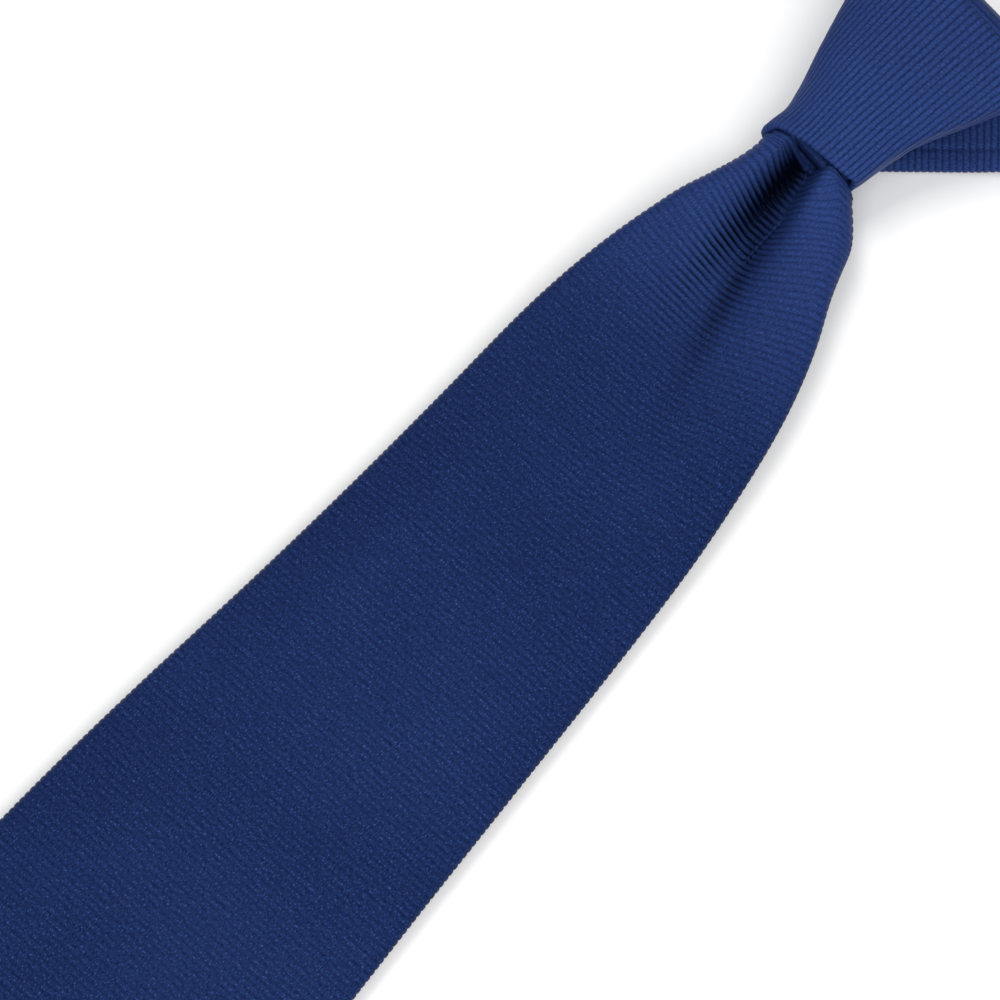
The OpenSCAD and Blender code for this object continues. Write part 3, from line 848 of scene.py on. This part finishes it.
def neck_wool():
    t = np.arange(SEAM_T + 2 * MM, 2 * half_t - SEAM_T - 2 * MM, 4 * MM)
    centre, across, up, half = side_rows(t, 0)
    base = laid_band(centre, across, up, half - 2.4 * MM, BODY_T - 1.8 * MM, band_section(6, 2))
    return finished(sleeve("neck_wool", base), wool, "neck_loop", ["neck_interlining"])


def neck_seams():
    """Two rows of thread where the blade's and the tail's silk are joined to the neck piece."""
    joined = []
    for side in (1, -1):
        t = SEAM_T + np.linspace(-0.1, 0.7, 5) * MM
        centre, across, up, half = side_rows(t, side)
        swell = np.array([0, 0.12, 0.18, 0.12, 0]) * MM
        base = laid_band(centre, across, up, half + swell, BODY_T + 2 * swell - 0.2 * MM, band_section(18, 5))
        joined.append(sleeve(f"neck_seam_{side}", base))
    bpy.ops.object.select_all(action="DESELECT")
    for piece in joined:
        piece.select_set(True)
    bpy.context.view_layer.objects.active = joined[0]
    bpy.ops.object.join()
    joined[0].name = joined[0].data.name = "neck_seams"
    return finished(joined[0], thread, "neck_loop", ["piecing_seams"])


bands += [neck_wool(), neck_seams()]
for piece in bands:
    tightening(piece)

# %% [markdown]
# The insides and the back: a wool interlining gives the blade and the tail their body, a satin tipping
# lines each point, one long thread slips along the back seam, a bar tack holds its end, the keeper loop
# takes the tail when the tie is worn, and two blank labels are sewn on.

# %% Interlinings and tippings
WOOL_T = 1 * MM
BLADE_TIPPING_T = 0.4 * MM
TAIL_TIPPING_T = 0.3 * MM


def plain_strip(name, s, half, middle, z, thick, material, body, node):
    """A thin flat piece along the tie, z at its middle."""
    s = np.asarray(s, float)
    centre = np.stack([middle + 0 * s, knot_y - s, z + 0 * s], axis=1)
    across = np.tile([1.0, 0.0, 0.0], (len(s), 1))
    slope = np.gradient(centre[:, 2], centre[:, 1])
    up = np.stack([0 * s, -slope, 1 + 0 * s], axis=1)
    up /= np.linalg.norm(up, axis=1, keepdims=True)
    piece = sleeve(name, laid_band(centre, across, up, half, thick, band_section(8, 2)))
    finished(piece, material, body, [node])
    return piece


def interlinings():
    s = np.linspace(64 * MM, blade_len - 9 * MM, 110)
    half = np.minimum(blade_half(s) * 0.55, blade_len - s - 6 * MM)
    middle = through(BLADE_MIDDLE, s)
    plain_strip("blade_wool", s, half, middle, blade_under(s) + 0.55 * BODY_T, WOOL_T, wool,
                "blade", "blade_interlining")
    s = np.linspace(-38 * MM, tail_len - 5 * MM, 90)
    half = np.minimum(tail_half(s) - 2.2 * MM, tail_len - s - 3.6 * MM)
    plain_strip("tail_wool", s, half, tail_middle(s), tail_under(s) + TAIL_T / 2, WOOL_T, wool,
                "tail", "tail_interlining")


def kite(start, belly, end, wide):
    s = np.linspace(start, end, 46)
    half = np.minimum((s - start) / (belly - start) * wide, (end - s) / (end - belly) * wide)
    return s, np.maximum(half, 0.4 * MM)


def tippings():
    s, half = kite(stitch_s - 6 * MM, belly_s + 2 * MM, blade_len - 8 * MM, blade_wide - 7 * MM)
    plain_strip("blade_tipping_satin", s, half, 0, blade_under(s) + 0.2 * MM, BLADE_TIPPING_T, tipping,
                "blade", "blade_tipping")
    s, half = kite(tail_stitch_s - 4 * MM, tail_belly_s + 1 * MM, tail_len - 6 * MM, tail_wide - 4 * MM)
    plain_strip("tail_tipping_satin", s, half, 0, tail_under(s) + 0.25 * MM, TAIL_TIPPING_T, tipping,
                "tail", "tail_tipping")


interlinings()
tippings()

# %% [markdown]
# Thread is modelled as thread: the slip stitch is a long line of short slanted stitches with the thread
# dipping between them, and a bar tack is a few turns side by side across the seam's end.

# %% Stitching
THREAD_R = 0.24 * MM
STITCH_STEP = 1.2 * MM
STITCH_LONG = 5 * MM


def thread_path(name, points):
    """A round thread along points."""
    points = np.asarray(points, float)
    direction = np.gradient(points, axis=0)
    direction /= np.linalg.norm(direction, axis=1, keepdims=True)
    side = np.cross(direction, [0.0, 0.0, 1.0])
    side /= np.maximum(np.linalg.norm(side, axis=1, keepdims=True), 1e-9)
    up = np.cross(side, direction)
    a = np.radians(np.arange(0, 360, 60))
    ring = side[:, None] * np.cos(a)[None, :, None] + up[:, None] * np.sin(a)[None, :, None]
    return sleeve(name, points[:, None] + ring * THREAD_R)


def slip_stitch(name, s1, s2, under, body, node):
    """Slanted stitches down the back seam, the thread dipping between them."""
    s = np.arange(s1, s2, STITCH_STEP)
    swing = np.sin(s / STITCH_LONG * 2 * np.pi)
    z = under(s) - 0.05 * MM - 0.12 * MM * np.abs(swing)
    points = np.stack([0.5 * MM * swing, knot_y - s, z], axis=1)
    return finished(thread_path(name, points), thread, body, [node])


def bar_tack(name, s, half, turns, under, body, node):
    """A few turns of thread side by side across the end of the seam."""
    count = turns * 12
    share = np.linspace(0, turns * np.pi, count)
    x = half * np.cos(share)
    y = knot_y - s + np.linspace(0, turns * 0.9 * MM, count)
    z = under(np.full(count, s)) - 0.05 * MM - 0.1 * MM * np.abs(np.sin(share))
    return finished(thread_path(name, np.stack([x, y, z], axis=1)), thread, body, [node])


slip_stitch("blade_slip_thread", 64 * MM, stitch_s - 6 * MM, blade_under, "blade", "blade_slip_stitch")
bar_tack("blade_bar_thread", stitch_s + 2 * MM, 4 * MM, 5, blade_under, "blade", "blade_bar_tack")
slip_stitch("tail_slip_thread", 40 * MM, tail_stitch_s - 2 * MM, lambda s: tail_under(s) + 0.3 * MM,
            "tail", "tail_slip_stitch")
bar_tack("tail_bar_thread", tail_stitch_s + 1.5 * MM, 3 * MM, 4, lambda s: tail_under(s) + 0.35 * MM,
         "tail", "tail_bar_tack")

# %% [markdown]
# The keeper is a folded strip of the same silk, caught to the back seam at its two ends, and the blank
# label below it is stitched down at its ends only.

# %% Keeper and labels
def patch(name, s, width, height, z, thick, rise, material, slot, body, node, x=0.0, leg=4 * MM):
    """A small flat piece across the tie, standing off its ground by rise except at its two ends."""
    across_x = np.arange(-width / 2, width / 2, RIB / PER_RIB)
    ends = 1 - ease(width / 2 - leg, width / 2 - leg / 3, np.abs(across_x))
    centre = np.stack([x + across_x, np.full_like(across_x, knot_y - s), z - rise * ends], axis=1)
    up = np.tile([0.0, 0.0, 1.0], (len(across_x), 1))
    across = np.tile([0.0, 1.0, 0.0], (len(across_x), 1))
    base = laid_band(centre, across, up, height / 2, thick, band_section(10, 3))
    ribbed = None if slot == "label" else across_x[:, None] + 0 * base[..., 0]
    piece = sleeve(name, base, ribbed, 0.06 * MM)
    finished(piece, material, body, [node])
    return piece


keeper_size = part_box("keeper_loop")[1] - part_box("keeper_loop")[0]
label_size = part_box("blank_label")[1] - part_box("blank_label")[0]
care_low, care_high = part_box("care_label")
care_size = care_high - care_low
care_s = knot_y - (care_low.y + care_high.y) / 2
care_x = (care_low.x + care_high.x) / 2
patch("keeper_silk", keeper_s, keeper_size.x, keeper_size.y, float(blade_under(keeper_s)) - 0.25 * MM,
      0.4 * MM, 0.3 * MM, silk, "silk", "blade", "keeper_loop")
patch("blank_label_cloth", label_s, label_size.x, label_size.y, float(blade_under(label_s)) - 0.25 * MM,
      0.25 * MM, 0.2 * MM, label_cloth, "label", "blade", "blank_label")
patch("care_label_cloth", care_s, care_size.x, care_size.y, 0.2 * MM,
      0.2 * MM, 0.0, label_cloth, "label", "tail", "care_label", care_x)

# %% [markdown]
# The table is a plain white board, lit until it is almost white itself; far from the tie it glows,
# because the lights don't reach there. A very large soft light stands on the blade's right, a smaller one on
# its left, and an even sky fills the rest, so that the shadows stay faint.

# %% Table, light and camera
bpy.ops.object.select_all(action="DESELECT")
bpy.ops.mesh.primitive_plane_add(size=6)
table = bpy.context.object
table.name = "table"
board = Finish("white_board", Roughness=0.7, Specular_IOR_Level=0.2, Emission_Strength=1.0)
grain = board.noise(board.place(), 40.0, 3.0)
white = board.mix(grain, (0.86, 0.86, 0.86, 1), (0.88, 0.88, 0.88, 1))
glow = board.mix(board.far(0.5, 2.4), (0, 0, 0, 1), (0.6, 0.6, 0.6, 1))
table.data.materials.append(board.set(Base_Color=white, Emission_Color=glow))

world = bpy.data.worlds.new("even_sky")
bpy.context.scene.world = world
world.use_nodes = True
sky = world.node_tree.nodes["Background"]
sky.inputs["Color"].default_value = (1, 1, 1, 1)
sky.inputs["Strength"].default_value = 0.36


def soft_light(name, spot, size, watts):
    """A square lamp that looks at the knot."""
    lamp = bpy.data.lights.new(name, "AREA")
    lamp.size = size
    lamp.energy = watts
    light = bpy.data.objects.new(name, lamp)
    bpy.context.scene.collection.objects.link(light)
    light.location = spot
    aim = Vector((0, 0.08, 0)) - Vector(spot)
    light.rotation_euler = aim.to_track_quat("-Z", "Y").to_euler()
    print(f"{name}: {watts} W, {size} m")


soft_light("room_light", (0.5, -0.35, 1.15), 1.4, 17)
soft_light("window_light", (-0.5, 0.2, 1.2), 0.5, 7)
bpy.context.scene.view_settings.view_transform = "Standard"

aim = Vector((-0.0054, 0.0772, 0.009))
azimuth, elevation, distance = np.radians(41), np.radians(77.3), 0.469
level = np.cos(elevation)
towards = Vector((np.sin(azimuth) * level, -np.cos(azimuth) * level, np.sin(elevation)))
camera = bpy.data.objects.new("camera", bpy.data.cameras.new("camera"))
bpy.context.scene.collection.objects.link(camera)
bpy.context.scene.camera = camera
camera.data.lens = 90
camera.data.sensor_width = 36
camera.data.clip_start = 0.01
camera.location = aim + towards * distance
camera.rotation_euler = (-towards).to_track_quat("-Z", "Y").to_euler()
